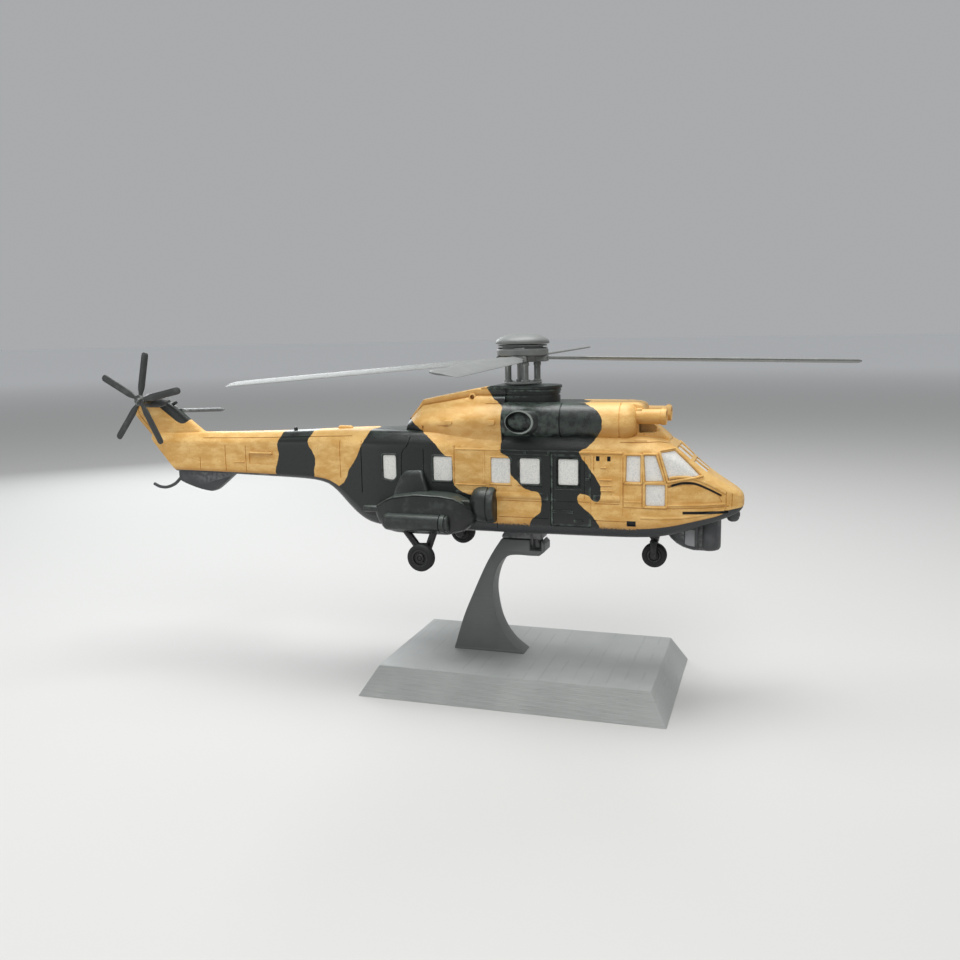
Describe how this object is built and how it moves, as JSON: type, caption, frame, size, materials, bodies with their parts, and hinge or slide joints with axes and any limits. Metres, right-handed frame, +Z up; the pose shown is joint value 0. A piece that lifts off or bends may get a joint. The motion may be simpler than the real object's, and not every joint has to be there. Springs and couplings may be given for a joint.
{
  "type": "helicopter scale model",
  "caption": "Camouflaged transport helicopter display model with a four-blade main rotor, tail rotor and wheels, on a lift-off curved arm and bevelled base.",
  "frame": {"origin": "centre of the stand base's underside", "axes": "+X towards the helicopter's nose, -Y its starboard side, +Z up"},
  "size_m": [0.273, 0.2167, 0.1212],
  "materials": {
    "camouflage_paint": "hand-brushed matte ochre camouflage over printed plastic",
    "stand_plastic": "bare grey printed plastic with layer lines",
    "pane_white": "off-white painted panes",
    "dark_green_paint": "satin very dark green paint",
    "belly_paint": "matte dark grey belly paint",
    "gear_paint": "satin black",
    "tyre_black": "black moulded tyre",
    "rotor_grey": "satin grey",
    "tail_rotor_grey": "satin dark grey",
    "bush_plastic": "plain dark plastic"
  },
  "bodies": {
    "stand": {"stand_base": "stand_plastic", "stand_arm": "stand_plastic"},
    "airframe": {"support_block": "belly_paint", "fuselage_right": "camouflage_paint", "fuselage_left": "camouflage_paint", "cabin_panes_right": "pane_white", "cabin_panes_left": "pane_white", "cockpit_panes_right": "pane_white", "cockpit_panes_left": "pane_white", "windscreen": "pane_white", "cabin_door_right": "camouflage_paint", "cabin_door_left": "camouflage_paint", "door_rails": "camouflage_paint", "engine_deck": "camouflage_paint", "rear_cowl": "camouflage_paint", "pylon_cap": "camouflage_paint", "rotor_bush": "bush_plastic", "nacelle_right": "camouflage_paint", "nacelle_left": "camouflage_paint", "exhaust_right": "dark_green_paint", "exhaust_left": "dark_green_paint", "intake_right": "camouflage_paint", "intake_left": "camouflage_paint", "sponson_right": "dark_green_paint", "sponson_left": "dark_green_paint", "float_bag_right": "dark_green_paint", "float_bag_left": "dark_green_paint", "sponson_pod_right": "dark_green_paint", "sponson_pod_left": "dark_green_paint", "sponson_fairings": "dark_green_paint", "chin_turret": "belly_paint", "nose_sensor": "belly_paint", "nose_leg": "gear_paint", "ventral_fin": "belly_paint", "tail_skid": "belly_paint", "stabiliser": "tail_rotor_grey", "tail_gearbox": "tail_rotor_grey", "boom_fittings": "camouflage_paint", "main_leg_right": "gear_paint", "main_leg_left": "gear_paint"},
    "main_wheel_right": {"main_right_tyre": "tyre_black", "main_right_rim": "gear_paint"},
    "main_wheel_left": {"main_left_tyre": "tyre_black", "main_left_rim": "gear_paint"},
    "nose_wheel": {"nose_tyre": "tyre_black", "nose_rim": "gear_paint"},
    "main_rotor": {"rotor_shaft": "rotor_grey", "mast_posts": "rotor_grey", "rotor_hub": "rotor_grey", "rotor_dome": "rotor_grey", "main_blade_1": "rotor_grey", "main_blade_2": "rotor_grey", "main_blade_3": "rotor_grey", "main_blade_4": "rotor_grey"},
    "tail_rotor": {"tail_hub": "tail_rotor_grey", "tail_blade_1": "tail_rotor_grey", "tail_blade_2": "tail_rotor_grey", "tail_blade_3": "tail_rotor_grey", "tail_blade_4": "tail_rotor_grey", "tail_blade_5": "tail_rotor_grey"}
  },
  "joints": [
    {"name": "lift_off", "type": "slide", "parent": "stand", "child": "airframe", "axis": [0, 0, 1], "range_m": [0, 0.03]},
    {"name": "main_rotor_spin", "type": "hinge", "parent": "airframe", "child": "main_rotor", "pos_m": [-0.0016, 0, 0.1], "axis": [0, 0, 1], "continuous": true},
    {"name": "tail_rotor_spin", "type": "hinge", "parent": "airframe", "child": "tail_rotor", "pos_m": [-0.15, -0.008, 0.0981], "axis": [0, 1, 0], "continuous": true},
    {"name": "main_wheel_right_spin", "type": "hinge", "parent": "airframe", "child": "main_wheel_right", "pos_m": [-0.0317, -0.0222, 0.047], "axis": [0, 1, 0], "continuous": true},
    {"name": "main_wheel_left_spin", "type": "hinge", "parent": "airframe", "child": "main_wheel_left", "pos_m": [-0.0317, 0.0222, 0.047], "axis": [0, 1, 0], "continuous": true},
    {"name": "nose_wheel_spin", "type": "hinge", "parent": "airframe", "child": "nose_wheel", "pos_m": [0.0434, 0, 0.0469], "axis": [0, 1, 0], "continuous": true}
  ]
}
